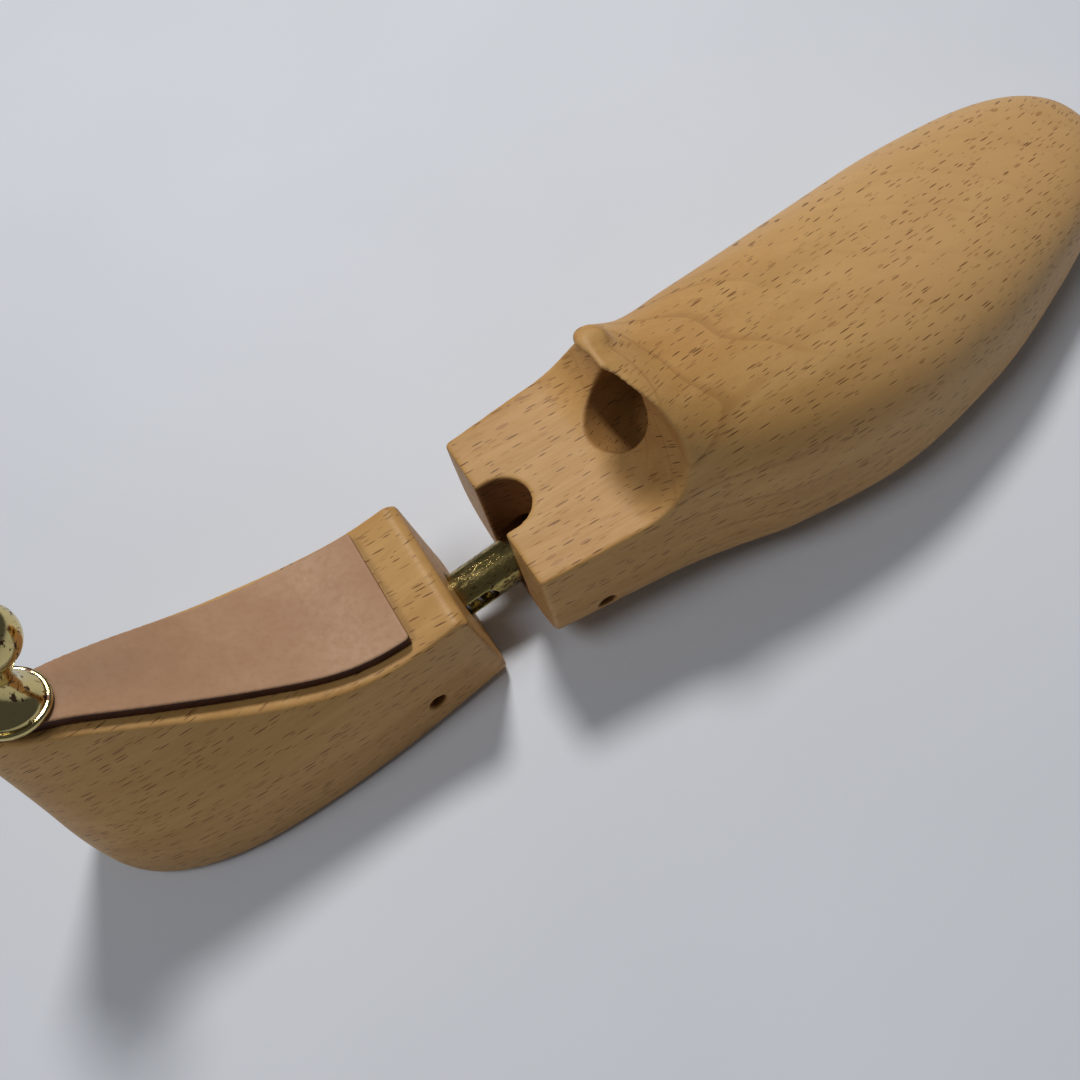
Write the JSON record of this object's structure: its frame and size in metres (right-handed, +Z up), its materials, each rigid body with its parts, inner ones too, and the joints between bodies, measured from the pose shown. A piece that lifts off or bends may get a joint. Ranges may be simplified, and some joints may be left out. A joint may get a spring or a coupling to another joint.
{
  "type": "shoe tree",
  "caption": "Sprung wooden shoe tree: last-shaped fore block with a hooded scoop, slotted brass tube, heel block with a leather strip and a turned knob.",
  "frame": {"origin": "centre of the heel seat, the flat that the heel block stands on", "axes": "+X towards the toe, +Y towards the big-toe side, +Z up"},
  "size_m": [0.3016, 0.0784, 0.0895],
  "materials": {
    "beech": "satin lacquered beech with fine dark flecks along the grain",
    "leather": "smooth vegetable-tanned leather with a burnished dark edge",
    "brass": "polished, with dark tarnish specks",
    "steel": "plain bright steel, dulled"
  },
  "bodies": {
    "heel": {"heel_block": "beech", "leather_strip": "leather", "knob": "brass", "knob_screw": "steel", "heel_pin": "steel", "spring_washer_rear": "steel"},
    "tube": {"tube": "brass", "spring": "steel", "spring_washer_front": "steel"},
    "fore": {"fore_block": "beech", "fore_pin": "steel"}
  },
  "joints": [
    {"name": "tube_slide", "type": "slide", "parent": "heel", "child": "tube", "axis": [0.9925, 0, 0.1219], "range_m": [-0.0085, 0], "stiffness_N_per_m": 2000, "springref_m": 0.008, "deforming": ["spring"]},
    {"name": "fore_hinge", "type": "hinge", "parent": "tube", "child": "fore", "pos_m": [0.0828, 0, 0.01607], "axis": [0, 1, 0], "range_deg": [-16, 5]}
  ]
}
